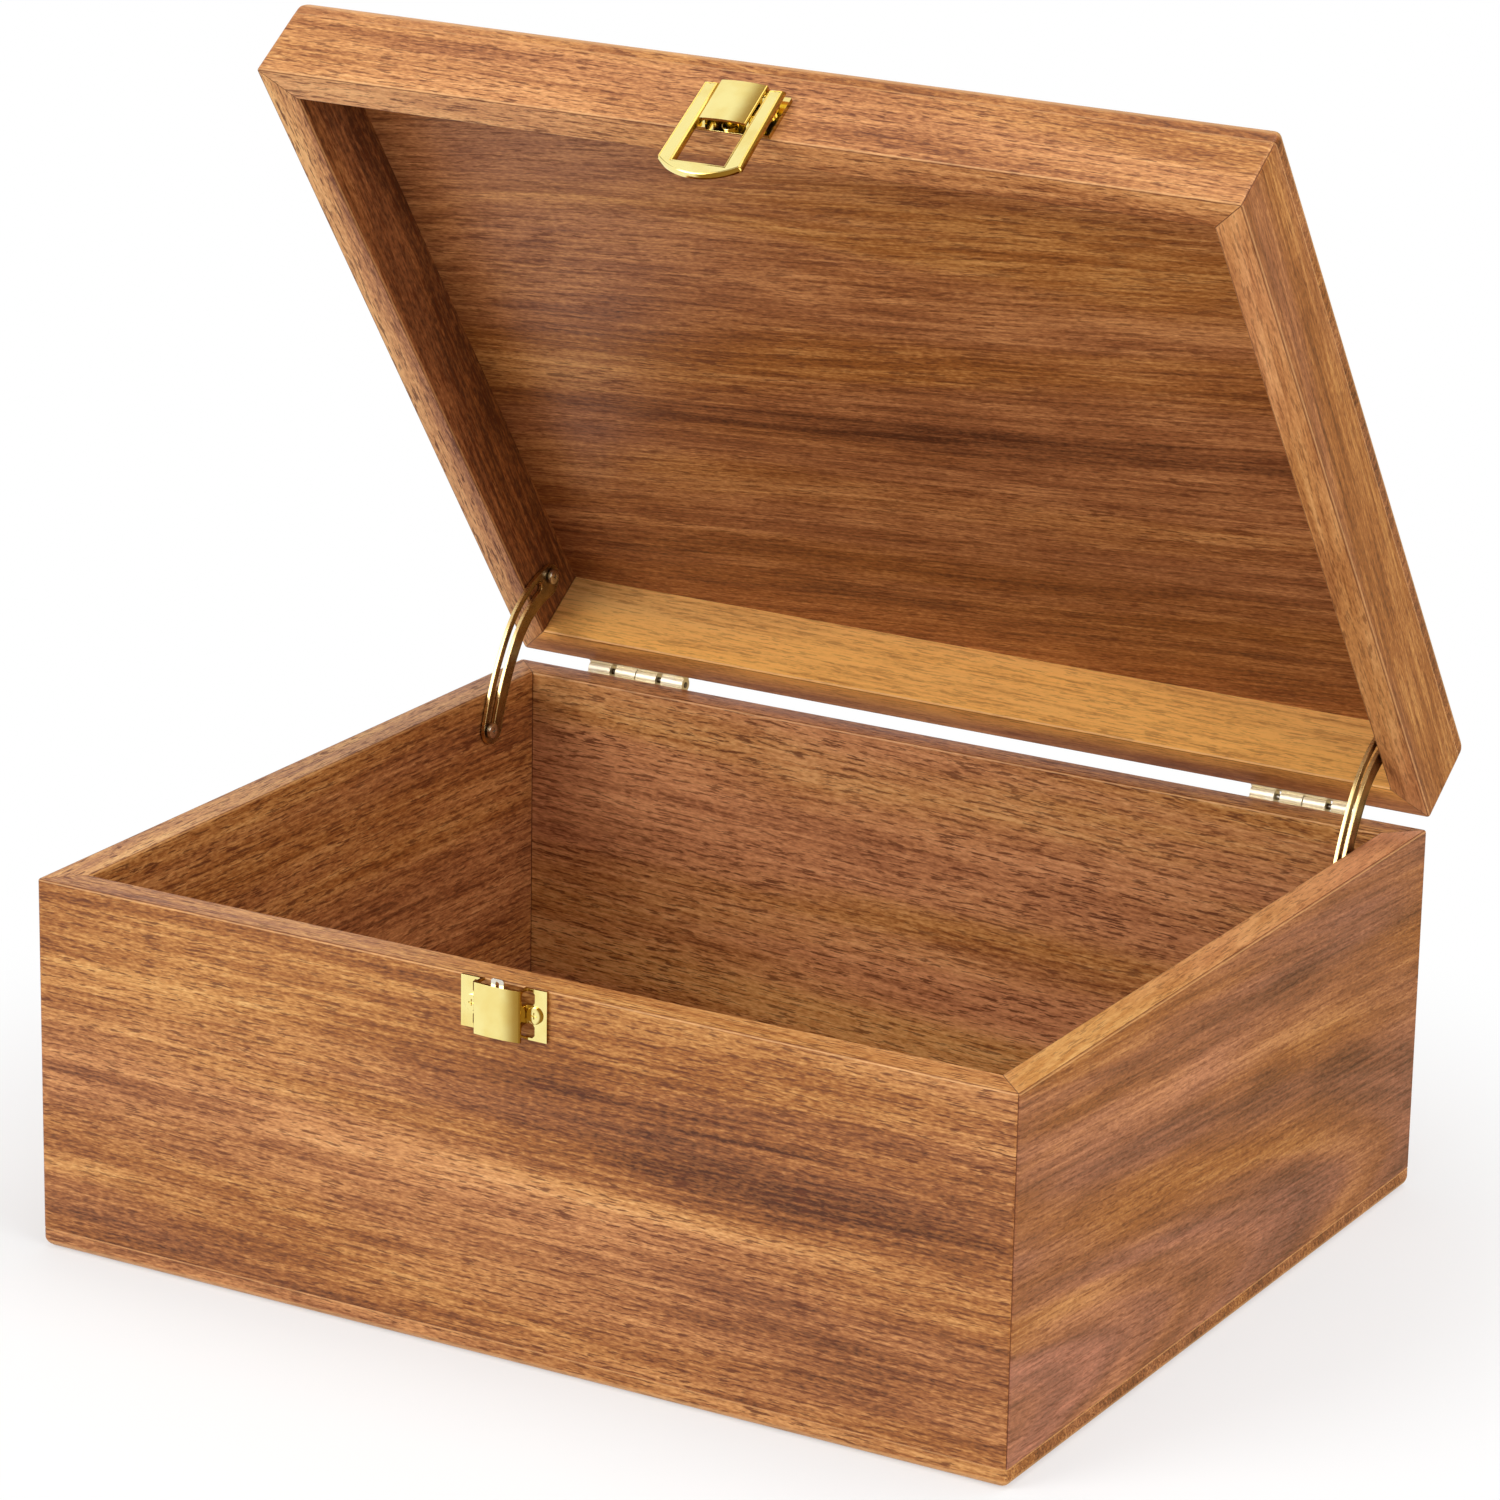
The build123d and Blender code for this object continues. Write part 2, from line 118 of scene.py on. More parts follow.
class MetalSizes(bpy.types.PropertyGroup):
    head_radius: length("Screw head", "Radius of the screw heads on the plates", 2.5)
    head_height: length("Head height", "Height of the screw heads", 1.1)
    head_shown: length("Head shown", "How far the screws on the plates stand proud", 0.65)
    hinge_head_radius: length("Hinge screw head", "Radius of the hinges' screw heads", 2.2)
    stay_head_height: length("Stay head height", "Height of the stays' screw heads", 1.3)
    nail_head_radius: length("Nail head", "Radius of the nail's head", 2.3)
    nail_head_height: length("Nail head height", "Height of the nail's head", 0.8)
    nail_above_rim: length("Nail height", "Height of the nail above the lid's rim", 2.7)
    shank_radius: length("Shank", "Radius of the screws' shanks", 1.2)
    shank_length: length("Shank length", "Length of the shanks in the wood", 8.0)
    backing: length("Backing", "Thickness of the plate behind the latch", 0.5)
    easing: length("Easing", "Rounding of the sheet metal's edges", 0.16)
    groove: length("Groove", "Width of each flank of the loop's fine groove", 0.15)
    stay_rim: length("Stay rim", "Width of the raised rims of the stays", 0.42)
    stay_hollow: length("Stay hollow", "Depth between the raised rims of the stays", 0.14)


class WoodColours(bpy.types.PropertyGroup):
    heart: colour("Heartwood", "Darkest bands", 80, 38, 12)
    brown: colour("Brown", "Common middle tone", 158, 95, 42)
    tan: colour("Tan", "Light bands", 202, 142, 77)
    sap: colour("Sapwood", "Lightest streaks", 230, 178, 110)
    red: colour("Red cast", "Reddish zones of the boards", 156, 101, 77)
    # amber is a golden cast of the wood, made brighter as painted light where the rear rail's
    # inner face gets little light
    amber_and_light: colour("Amber cast", "Golden zones of the lid's rear rail", 255, 190, 100)
    # pore is the colour of the open pores and also of the painted shade in the rims' crease
    pore_and_crease_shade: colour("Pores", "Open pores", 98, 47, 20)
    # edge is worn lacquer and a painted highlight on the rounded rims
    edge: colour("Edge", "Worn edges of the rims", 226, 172, 112)


class MetalColours(bpy.types.PropertyGroup):
    gold: colour("Gold", "Polished plating of the latch", 252, 236, 158)
    gold_deep: colour("Deep gold", "Faint stains on the plating", 240, 208, 112)
    # Painted shade: a deeper gold for plating turned to the right, in place of the darker
    # reflection there
    gold_painted_shade: colour("Turned gold", "Plating that faces the right", 172, 134, 44)
    steel: colour("Steel", "Spring tongue", 232, 230, 224)
    champagne: colour("Champagne", "Hinges", 232, 222, 196)
    brass: colour("Old brass", "Flat sides of the stays", 134, 117, 88)
    # brass_wear_and_sheen is the colour of the stains and of the rims, as worn brass with a
    # painted highlight
    brass_wear_and_sheen: colour("Brass edge", "Worn rims of the stays", 228, 200, 140)
    nickel: colour("Nickel", "Screws of the stays", 206, 202, 196)
    dark: colour("Dark steel", "Pins of the hinges", 74, 66, 58)


class StudioSettings(bpy.types.PropertyGroup):
    focal: FloatProperty(
        name="Focal length", description="Lens of the camera", default=144.55, unit="CAMERA"
    )
    camera_place: FloatVectorProperty(
        name="Camera place",
        description="Where the camera stands",
        default=(834.47 * MM, -1454.02 * MM, 681.67 * MM),
        precision=5, subtype="TRANSLATION", unit="LENGTH",
    )
    camera_turn: FloatVectorProperty(
        name="Camera turn",
        description="How the camera is tilted up, rolled and turned from the front",
        default=(math.radians(72.281), math.radians(-1.021), math.radians(30.146)),
        precision=5, subtype="EULER", unit="ROTATION",
    )
    daylight: FloatProperty(
        name="Daylight", description="Strength of the surroundings", default=0.46
    )
    key: power("Key", "Power of the large lamp at the front", 40.0)
    fill: power("Fill", "Power of the lamp at the right", 20.0)
    top: power("Top", "Power of the lamp above", 22.0)
    shade: colour("Shade", "What metal mirrors on the box's right", 190, 165, 120)


# Selecting and editing


def pick(piece):
    """Make one piece the only selected and active one."""
    bpy.ops.object.select_all(action="DESELECT")
    piece.select_set(True)
    bpy.context.view_layer.objects.active = piece


class Editing:
    """Edit mode on one piece, for the length of a with block."""

    def __init__(self, piece):
        self.piece = piece

    def __enter__(self):
        pick(self.piece)
        bpy.ops.object.mode_set(mode="EDIT")
        bpy.ops.mesh.select_all(action="SELECT")
        return self

    def __exit__(self, *problem):
        bpy.ops.object.mode_set(mode="OBJECT")

    def select(self, kind, test):
        """Select the vertices, edges or faces that pass a test on the item."""
        bpy.ops.mesh.select_all(action="DESELECT")
        bpy.ops.mesh.select_mode(type=kind)
        mesh = bmesh.from_edit_mesh(self.piece.data)
        items = {"VERT": mesh.verts, "EDGE": mesh.edges, "FACE": mesh.faces}[kind]
        for item in [item for item in items if test(item)]:
            item.select_set(True)
        mesh.select_flush_mode()
        bmesh.update_edit_mesh(self.piece.data)

    def bevel(self, radius, segments):
        bpy.ops.mesh.bevel(offset=radius, segments=segments, affect="EDGES", offset_type="OFFSET")


def middle(edge):
    return (edge.verts[0].co + edge.verts[1].co) / 2


def along(edge, axis):
    """Whether an edge runs along an axis."""
    run = (edge.verts[1].co - edge.verts[0].co).normalized()
    return abs(run[axis]) > SAME_WAY


def near(value, target):
    return abs(value - target) < SAME_PLACE


def level_at(edge, height):
    return all(near(vertex.co.z, height) for vertex in edge.verts)


def named(name):
    """The piece just made, with its name on its mesh too."""
    piece = bpy.context.object
    piece.name = name
    piece.data.name = name
    return piece


def block(name, low, high):
    """A box-shaped start between two corners."""
    bpy.ops.object.select_all(action="DESELECT")
    low, high = Vector(low), Vector(high)
    bpy.ops.mesh.primitive_cube_add(size=1.0, location=(low + high) / 2, scale=high - low)
    bpy.ops.object.transform_apply(location=True, rotation=True, scale=True)
    return named(name)


def copy_of(piece, name):
    """A copy with its own mesh."""
    pick(piece)
    bpy.ops.object.duplicate()
    return named(name)


def discard(piece):
    pick(piece)
    bpy.ops.object.delete()


def open_with_lid(piece):
    """Turn a piece modelled on the shut lid to the open lid's place."""
    turn = Matrix.Rotation(-open_angle, 4, "X")
    piece.matrix_world = Matrix.Translation(hinge_point) @ turn @ Matrix.Translation(-hinge_point)
    pick(piece)
    bpy.ops.object.transform_apply(location=True, rotation=True, scale=True)


def smooth(piece, angle=35.0):
    """Shade a piece smoothly, with its large faces kept flat."""
    pick(piece)
    bpy.ops.object.shade_smooth_by_angle(angle=math.radians(angle))
    flat = piece.modifiers.new("Flat faces", "WEIGHTED_NORMAL")
    flat.keep_sharp = True
    bpy.ops.object.modifier_apply(modifier=flat.name)


def dress(piece, body, finish, slot, *nodes):
    """Give a finished piece its material, and put it on its body in place of CAD nodes."""
    piece.data.materials.clear()
    piece.data.materials.append(finish)
    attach(piece, body)
    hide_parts(*nodes)


# Materials


class Wire:
    """A socket with arithmetic: an expression adds the nodes that work it out."""

    def __init__(self, finish, socket):
        self.finish = finish
        self.socket = socket

    def math(self, operation, *others):
        return self.finish.node(
            "ShaderNodeMath", {"operation": operation}, dict(enumerate((self, *others)))
        )

    def __add__(self, other):
        return self.math("ADD", other)

    __radd__ = __add__

    def __sub__(self, other):
        return self.math("SUBTRACT", other)

    def __rsub__(self, other):
        return self.finish.node("ShaderNodeMath", {"operation": "SUBTRACT"}, {0: other, 1: self})

    def __mul__(self, other):
        return self.math("MULTIPLY", other)

    __rmul__ = __mul__

    def __truediv__(self, other):
        return self.math("DIVIDE", other)

    def __neg__(self):
        return self * -1.0

    def __pow__(self, other):
        return self.math("POWER", other)

    def exp(self):
        return self.math("EXPONENT")

    def absolute(self):
        return self.math("ABSOLUTE")

    def clamp(self):
        return self.math("MAXIMUM", 0.0).math("MINIMUM", 1.0)

    def step(self, start, end):
        """Rise smoothly from 0 at start to 1 at end."""
        return self.finish.node(
            "ShaderNodeMapRange",
            {"interpolation_type": "SMOOTHSTEP"},
            {"Value": self, "From Min": start, "From Max": end},
        )


class Nodes:
    """A node tree as it is put together."""

    def __init__(self, tree):
        self.tree = tree

    def node(self, kind, settings=None, inputs=None, output=0):
        """Add a node, set its settings first and then its sockets, and return one output."""
        added = self.tree.nodes.new(kind)
        for key, value in (settings or {}).items():
            if key == "stops":
                self.fill_ramp(added.color_ramp, value)
            else:
                setattr(added, key, value)
        for key, value in (inputs or {}).items():
            self.feed(added.inputs[key], value)
        return Wire(self, added.outputs[output])

    def feed(self, socket, value):
        if isinstance(value, Wire):
            self.tree.links.new(value.socket, socket)
        else:
            socket.default_value = value

    def fill_ramp(self, ramp, stops):
        while len(ramp.elements) < len(stops):
            ramp.elements.new(0.5)
        for element, (place, shade) in zip(ramp.elements, stops):
            element.position = place
            element.color = shade

    def noise(self, vector, detail=2.0, roughness=0.5):
        """Noise that is about 0.5 on average, over a vector already scaled."""
        return self.node(
            "ShaderNodeTexNoise",
            {"noise_dimensions": "3D"},
            {"Vector": vector, "Scale": 1.0, "Detail": detail, "Roughness": roughness},
        )

    def vector(self, x, y, z):
        return self.node("ShaderNodeCombineXYZ", None, {0: x, 1: y, 2: z})

    def blend(self, share, low, high, kind="MIX"):
        """Two colours mixed by a share."""
        settings = {"data_type": "RGBA", "blend_type": kind}
        return self.node("ShaderNodeMix", settings, {0: share, 6: low, 7: high}, output=2)

    def mix_shaders(self, share, low, high):
        return self.node("ShaderNodeMixShader", None, {0: share, 1: low, 2: high})

    def parts(self, vector):
        """The three numbers of a vector."""
        first = self.node("ShaderNodeSeparateXYZ", None, {0: vector})
        return [Wire(self, output) for output in first.socket.node.outputs]


class Finish(Nodes):
    """A material of one piece."""

    def __init__(self, name):
        self.material = bpy.data.materials.new(name)
        self.material.use_nodes = True
        super().__init__(self.material.node_tree)
        self.shader = self.tree.nodes["Principled BSDF"]

    def place(self, shut):
        """The place on the piece."""
        shift = hinge_point - Matrix.Rotation(open_angle, 3, "X") @ hinge_point
        return self.turned_back("Object", "POINT", shut, Location=shift)

    def facing(self, shut):
        """The way the surface faces."""
        return self.turned_back("Normal", "VECTOR", shut)

    def turned_back(self, output, kind, shut, **shift):
        """A coordinate of the piece, turned back to the shut lid for a piece of the lid."""
        here = self.node("ShaderNodeTexCoord", output=output)
        if not shut:
            return here
        sockets = {"Vector": here, "Rotation": (open_angle, 0.0, 0.0), **shift}
        return self.node("ShaderNodeMapping", {"vector_type": kind}, sockets)

    def relief(self, height, distance, strength):
        return self.node(
            "ShaderNodeBump", None, {"Height": height, "Distance": distance, "Strength": strength}
        )

    def set(self, **values):
        for name, value in values.items():
            label = name.replace("_", " ").title().replace("Ior", "IOR")
            self.feed(self.shader.inputs[label], value)
        return self.material


class Figure(NamedTuple):
    """How one board's grain looks.

    Places and sizes are in millimetres, along the grain and across it. Patches are
    (along, across, reach, width, change of tone), and arches are (along, across,
    reach, width, lift), which bend the grain around them. A crown is (across,
    depth, taper): the rings close round that line in pointed arches, the more the
    larger its taper. The numbers after it say how strongly the layers and the casts
    show, and how much painted light and shade lift or lower the tone on a wall's
    inner face and on its rim.
    """

    seed: float
    tone: float
    slope: float = 0.0
    wander: float = 4.0
    patches: tuple = ()
    arches: tuple = ()
    crown: tuple = ()
    contrast: float = 1.0
    lines: float = 1.0
    streaks: float = 0.4
    pores: float = 1.0
    red: float = 0.3
    amber_and_light: float = 0.0
    # inner and rim are painted light and shade on a wall's inner face and on its rim
    inner: float = 0.0
    rim: float = 0.0


class Layer(NamedTuple):
    """Noise by its cells a metre, how often it adds the seed, its octaves and their share.

    The cells and the seeds are given along the grain, across it and through the board.
    """

    cells: tuple
    seeds: tuple
    detail: float
    roughness: float = 0.5


DRIFT = Layer((2.2, 9, 9), (1, 0, 1), 2)
BROAD = Layer((1.2, 26, 9), (1, 0, 0), 5, 0.6)
SWAY = Layer((70, 70, 70), (0, 1, 0), 1)
LINES = Layer((18, 700, 300), (0, 1, 0), 3, 0.65)
MOTTLE = Layer((30, 130, 130), (1, 0, 0), 2)
STREAKS = Layer((3, 210, 70), (1, 0, 0), 3, 0.6)
SPECKLE = Layer((420, 1500, 1500), (0, 1, 0), 2)
CAST = Layer((3, 34, 10), (0, 2, 1), 3)
DASHES = Layer((130, 1250, 1250), (1, 0, 0), 3, 0.62)
CROWD = Layer((9, 50, 40), (0, 1, 1), 2)

# How strongly the layers change the tone, from 0 for heartwood to 1 for sapwood
BROAD_SHARE = 0.9
MOTTLE_SHARE = 0.35
SPECKLE_SHARE = 0.9
END_GRAIN_CHANGE = -0.14

# The sway of the fibres, the lean of the rings through a board, and a crown's half width
FIBRE_SWAY = 0.9 * MM
RING_LEAN = 0.3
CROWN_WIDTH = 40.0 * MM

# How far from a mitre its dark line starts to fade and where it ends
MITRE_LINE = 0.12 * MM, 0.34 * MM

# From where on a rounding is nearly level, with 1 for a face that looks straight up or down
NEARLY_LEVEL = 0.985


def hump(*offsets):
    """A smooth bump of height 1 where every offset is zero."""
    total = 0.0
    for offset in offsets:
        total = offset * offset + total
    return (-total).exp()


class Grain:
    """Places on a board as its grain runs, with the noise that its layers read."""

    def __init__(self, finish, figure, place, grain, across, face):
        self.finish = finish
        self.seed = figure.seed
        self.through = 3 - grain - across
        self.along, self.across, self.depth = place[grain], place[across], place[self.through]
        drift = self.noise(DRIFT, self.across)
        self.straight = (
            self.across
            + self.along * figure.slope
            + (drift - 0.5) * (4.0 * figure.wander * MM)
            + (self.depth - face) * RING_LEAN
        )
        self.ring = self.ringed(figure)
        self.fibre = self.straight + (self.noise(SWAY, self.across) - 0.5) * FIBRE_SWAY

    def ringed(self, figure):
        """The distance across the grain, bent around the figure's crown and arches."""
        ring = self.straight
        if figure.crown:
            at_across, depth, taper = figure.crown
            off = self.across - at_across * MM
            ring = ring - off + (off * off + (depth * MM) ** 2) ** 0.5
            ring = ring + self.along * hump(off / CROWN_WIDTH) * taper
        for at_along, at_across, reach, width, lift in figure.arches:
            off_along = (self.along - at_along * MM) / (reach * MM)
            off_across = (self.across - at_across * MM) / (width * MM)
            ring = ring + hump(off_along, off_across) * (lift * MM)
        return ring

    def noise(self, layer, across):
        """A layer's noise, read at a distance across the grain."""
        scaled = []
        for place, cells, seeds in zip((self.along, across, self.depth), layer.cells, layer.seeds):
            place = place * cells
            scaled.append(place + self.seed * seeds if seeds else place)
        return self.finish.noise(self.finish.vector(*scaled), layer.detail, layer.roughness)

    def inner_side(self):
        """A share that is 0 on a wall's outer face and 1 on its inner one."""
        outer = half_width if self.through == 0 else half_depth
        inner = outer - bpy.context.scene.box_sizes.wall
        return self.depth.absolute().step(outer - 2.0 * MM, inner + 1.0 * MM)

    def patch(self, at_along, at_across, reach, width):
        """A smooth patch that follows the rings."""
        off_along = (self.along - at_along * MM) / (reach * MM)
        return hump(off_along, (self.ring - at_across * MM) / (width * MM))


def wood(name, figure, grain, across, face, shut=False):
    """Lacquered acacia with its grain along one axis and its figure across another.

    The figure lies on the face at a given place on the third axis.
    """
    colours = bpy.context.scene.wood_colours
    finish = Finish(name)
    place = finish.parts(finish.place(shut))
    facing = [side.absolute() for side in finish.parts(finish.facing(shut))]
    board = Grain(finish, figure, place, grain, across, face)
    upright = across == 2

    # The tone comes from the layers, the figure's patches and the way that a face looks
    lines = board.noise(LINES, board.straight)
    tone = (
        figure.tone
        + (board.noise(BROAD, board.ring) - 0.5) * (BROAD_SHARE * figure.contrast)
        + (lines - 0.5) * figure.lines
        + (board.noise(STREAKS, board.ring) - 0.5) * figure.streaks
        + (board.noise(MOTTLE, board.ring) - 0.5) * MOTTLE_SHARE
        + (board.noise(SPECKLE, board.fibre) - 0.5) * (SPECKLE_SHARE * figure.pores)
    )
    for *patch, change in figure.patches:
        tone = tone + board.patch(*patch) * change
    # Painted light and shade: a wall's inner face is made lighter or darker for how much light
    # reaches it
    if figure.inner:
        tone = tone + board.inner_side() * figure.inner
    if grain == 0:
        tone = tone + facing[grain].step(0.6, 0.85) * END_GRAIN_CHANGE
    # Painted light and shade: a rim's level face is made lighter or darker for how light falls on
    # it
    if figure.rim:
        tone = tone + facing[across].step(0.75, 0.95) * figure.rim

    # The colour follows the tone, with red and golden casts in zones
    stops = (0.02, colours.heart), (0.4, colours.brown), (0.7, colours.tan), (1.0, colours.sap)
    base = finish.node("ShaderNodeValToRGB", {"stops": stops}, {0: tone})
    cast = board.noise(CAST, board.ring)
    reddish = (cast.step(0.34, 0.62) * figure.red).clamp()
    base = finish.blend(reddish, base, colours.red, "COLOR")
    # A golden cast on a wall's inner face, brightened as painted light where little light reaches
    # it
    if figure.amber_and_light:
        golden = finish.blend(tone.step(0.40, 1.05), colours.brown, colours.amber_and_light)
        share = board.inner_side() * cast.step(0.20, 0.60) * figure.amber_and_light
        base = finish.blend(share, base, golden)

    # Pores are short dark dashes along the fibres, more in some places than in others
    dashes = board.noise(DASHES, board.fibre).step(0.53, 0.62)
    pores = dashes * (board.noise(CROWD, board.ring) * 0.9 + 0.40) * figure.pores
    base = finish.blend((pores * 0.9).clamp(), base, colours.pore_and_crease_shade)

    # Rounded edges are painted lighter, as worn lacquer and as a painted highlight where they
    # catch the light, and an upright board's are painted darker just before they are level, as
    # painted shade in the groove where rims meet
    # Painted highlight with wear: rounded edges turn lighter, as worn lacquer and as the light
    # that they catch
    wear_and_sheen_until = 0.55 if upright else 0.88
    wear_and_sheen = facing[2].step(0.12, 0.40) * (1.0 - facing[2].step(wear_and_sheen_until, NEARLY_LEVEL))
    base = finish.blend(wear_and_sheen * 0.5, base, colours.edge)
    if upright:
        # Painted shade: a dark line on an upright board's rim just before it turns level, where
        # the groove between the rims lies in shade
        crease_shade = facing[2].step(0.75, 0.95) * (1.0 - facing[2].step(NEARLY_LEVEL, 0.998))
        base = finish.blend(crease_shade * 0.75, base, colours.pore_and_crease_shade)
        x, y = (side.absolute() for side in place[:2])
        off_mitre = ((half_width - x) - (half_depth - y)).absolute()
        base = finish.blend((1.0 - off_mitre.step(*MITRE_LINE)) * 0.6, base, colours.pore_and_crease_shade)

    return finish.set(
        base_color=base,
        roughness=0.42 + (lines - 0.5) * 0.12 + pores * 0.15,
        coat_weight=0.05,
        coat_roughness=0.3,
        specular_ior_level=0.3,
        normal=finish.relief(lines * 0.3 - pores, 0.04 * MM, 0.3),
    )


def metal(name, main, stain, rough, shut=False, wear_and_sheen=None, painted_shade=None):
    """Plated metal with faint stains and fine polishing marks.

    It can be painted brighter off its left and right sides, as worn rims and a painted highlight
    on them, or painted deeper where it turns right, as painted shade in its reflection.
    """
    finish = Finish(name)
    x, y, z = finish.parts(finish.place(shut))
    # Clouds about 8 mm wide, and marks 2 mm long and a quarter of a millimetre wide
    cloud = finish.noise(finish.vector(x * 120.0, y * 120.0, z * 120.0), 3.0)
    marks = finish.noise(finish.vector(x * 500.0, y * 4000.0, z * 4000.0), 2.0)
    base = finish.blend(cloud.step(0.40, 0.75) * 0.5, main, stain)
    way = finish.parts(finish.facing(shut))[0]
    # Worn rims with a painted highlight: faces that turn away from the sides are painted brighter
    if wear_and_sheen is not None:
        flat = way.absolute().step(0.80, 0.97)
        base = finish.blend((1.0 - flat) * 0.9 + marks.step(0.58, 0.75) * 0.15, base, wear_and_sheen)
    # Painted shade: faces turned to the right are painted a deeper gold, as a darker reflection
    if painted_shade is not None:
        base = finish.blend(way.step(0.01, 0.17) * 0.8, base, painted_shade)
    return finish.set(
        base_color=base,
        metallic=1.0,
        roughness=(marks - 0.5) * 0.08 + (cloud - 0.5) * 0.06 + rough,
        normal=finish.relief(marks, 0.01 * MM, 0.2),
    )


def gold_plating(name, shut):
    tones = bpy.context.scene.metal_colours
    return metal(name, tones.gold, tones.gold_deep, 0.12, shut, painted_shade=tones.gold_painted_shade)


# Boards


# How far the faces beside an edge turn for it to count as a corner, in radians
CORNER_TURN = 0.45

# Which way each side of the box faces, along X and Y
SIDES = {"front": (0, -1), "rear": (0, 1), "left": (-1, 0), "right": (1, 0)}


def lid_heights():
    """Heights of the shut lid's rim, of the seam under its board, and of its top."""
    sizes = bpy.context.scene.box_sizes
    rim = walls_top + sizes.rim_gap
    seam = rim + sizes.lid_height - sizes.top_board
    return rim, seam, seam + sizes.top_board


def footprint_block(name, bottom, top):
    """A block over the whole footprint of the box."""
    return block(name, (-half_width, -half_depth, bottom), (half_width, half_depth, top))


def rim_edge(edge):
    """Whether an edge lies between a level face and an upright one."""
    return len(edge.link_faces) == 2 and abs(
        abs(edge.link_faces[0].normal.z) - abs(edge.link_faces[1].normal.z)
    ) > 0.5


def at_corner(edge, reach):
    """Whether an edge runs up one of the four corners, or over its rounding."""
    place = middle(edge)
    corner_x = half_width - abs(place.x)
    corner_y = half_depth - abs(place.y)
    return near(corner_x, corner_y) and corner_x < reach


def outside(edge):
    """Whether an edge lies on the outer half of a wall."""
    place = middle(edge)
    half_wall = bpy.context.scene.box_sizes.wall / 2
    return abs(place.x) > half_width - half_wall or abs(place.y) > half_depth - half_wall


def hollow_ring(name, bottom, top, rim_at_top):
    """The four walls as one ring, with rounded corners, rims and seam."""
    sizes = bpy.context.scene.box_sizes
    ring = footprint_block(name, bottom, top)
    rim, seam = (top, bottom) if rim_at_top else (bottom, top)
    with Editing(ring) as edit:
        edit.select("FACE", lambda face: abs(face.normal.z) > SAME_WAY)
        bpy.ops.mesh.inset(thickness=sizes.wall, depth=0.0, use_individual=True)
        bpy.ops.mesh.bridge_edge_loops()
        edit.select("EDGE", lambda e: along(e, 2) and near(abs(middle(e).x), half_width))
        edit.bevel(sizes.corner, 4)
        edit.select("EDGE", lambda e: level_at(e, rim) and rim_edge(e))
        edit.bevel(sizes.rim, 3)
        edit.select("EDGE", lambda e: level_at(e, seam) and rim_edge(e) and outside(e))
        edit.bevel(sizes.seam, 1)
    return ring


def mitred(ring, name, way_x, way_y):
    """The board on one side of a ring, cut along its two mitres with a fine groove at each."""
    board = copy_of(ring, name)
    keep = 1.0 if way_y else -1.0
    with Editing(board):
        for sign in (-1, 1):
            end_x, end_y = way_x or sign, way_y or sign
            bpy.ops.mesh.select_all(action="SELECT")
            bpy.ops.mesh.bisect(
                plane_co=(end_x * half_width, end_y * half_depth, 0.0),
                plane_no=(end_x * keep, -end_y * keep, 0.0),
                use_fill=True, clear_outer=True, clear_inner=False,
            )
            bpy.ops.mesh.select_mode(type="EDGE")
            bpy.ops.mesh.region_to_loop()
            bpy.ops.mesh.bevel(
                offset=bpy.context.scene.box_sizes.mitre, segments=1, affect="EDGES"
            )
    return board


def boards_from(ring, body, kind, slot, figures):
    """Cut a ring of the base or the lid into its four boards, each with its own grain."""
    on_lid = body == "lid"
    for side, (way_x, way_y) in SIDES.items():
        board = mitred(ring, f"{body}_{side}_board", way_x, way_y)
        if on_lid:
            open_with_lid(board)
        grain = 0 if way_y else 1
        face = way_x * half_width + way_y * half_depth
        finish = wood(f"acacia_{body}_{side}", figures[side], grain, 2, face, on_lid)
        smooth(board)
        dress(board, body, finish, slot, f"{body}_{side}_{kind}")
    discard(ring)


def flat_board(name, bottom, top, edge, rounded):
    """A board over the walls, round along one edge and eased at its seam."""
    sizes = bpy.context.scene.box_sizes
    piece = footprint_block(name, bottom, top)
    seam = top if near(rounded, bottom) else bottom
    with Editing(piece) as edit:
        edit.select("EDGE", lambda e: level_at(e, rounded))
        edit.bevel(edge, 8)
        edit.select("EDGE", lambda e: at_corner(e, edge) and e.calc_face_angle() > CORNER_TURN)
        edit.bevel(sizes.corner, 3)
        edit.select("EDGE", lambda e: level_at(e, seam) and rim_edge(e))
        edit.bevel(sizes.seam, 1)
    return piece


